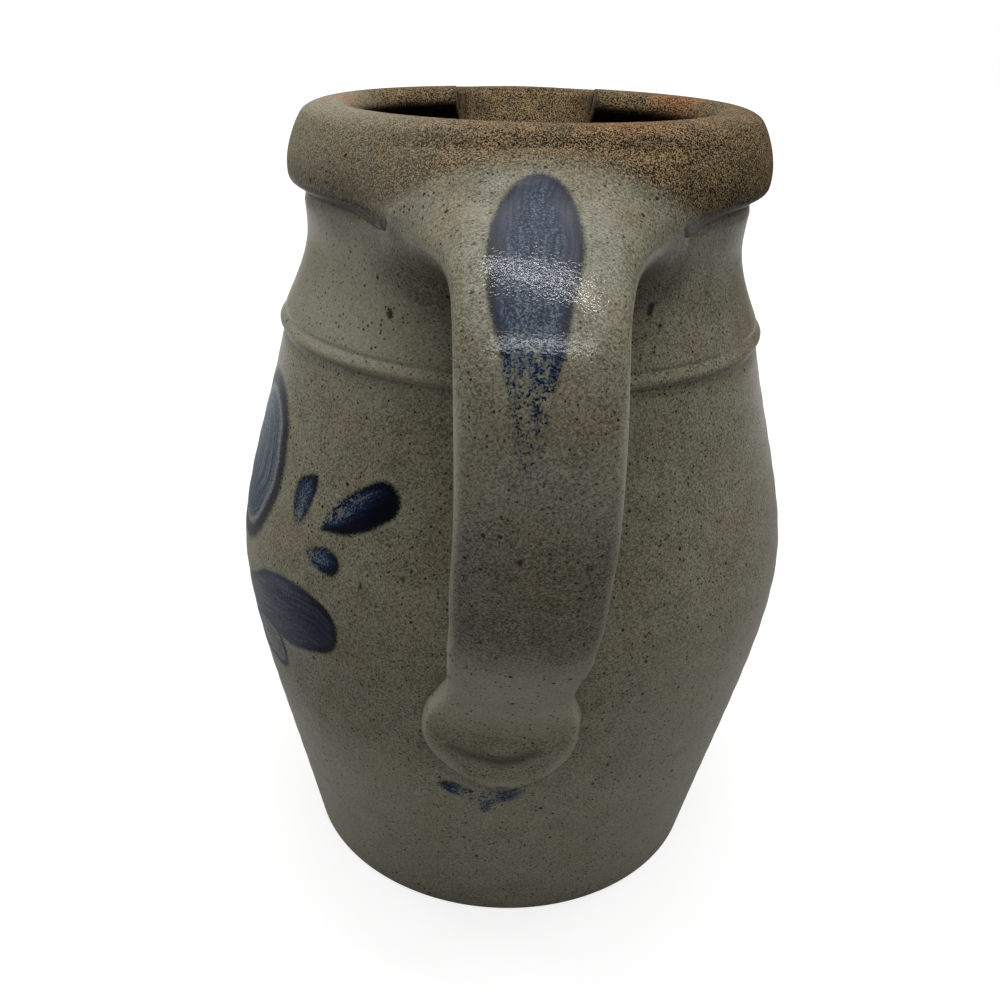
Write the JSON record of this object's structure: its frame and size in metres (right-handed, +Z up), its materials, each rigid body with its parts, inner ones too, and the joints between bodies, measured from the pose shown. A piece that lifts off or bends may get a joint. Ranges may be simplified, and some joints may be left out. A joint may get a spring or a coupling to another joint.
{
  "type": "stoneware pitcher",
  "caption": "Salt-glazed stoneware pitcher with a swelling body, thick rolled collar, beaked pouring spout and a pulled strap handle with a thumb-pressed end.",
  "frame": {"origin": "centre of the flat foot, on the axis of the pot", "axes": "+Z up along the axis of the pot, spout towards +Y, handle towards -Y, +X to the right of someone who faces the handle"},
  "size_m": [0.16, 0.1978, 0.2207],
  "materials": {
    "salt_glazed_body": "grey salt-glazed stoneware with iron specks and brushed cobalt, dark liner glaze inside",
    "toasted_collar": "brown toasted stoneware with a coarse orange-peel salt glaze",
    "toasted_spout": "brown toasted stoneware with a coarse orange-peel salt glaze",
    "salt_glazed_handle": "glossy grey salt-glazed stoneware with a brushed cobalt leaf"
  },
  "bodies": {
    "root": {"thrown_body": "salt_glazed_body", "rim_collar": "toasted_collar", "pour_spout": "toasted_spout", "strap_handle": "salt_glazed_handle"}
  },
  "joints": []
}
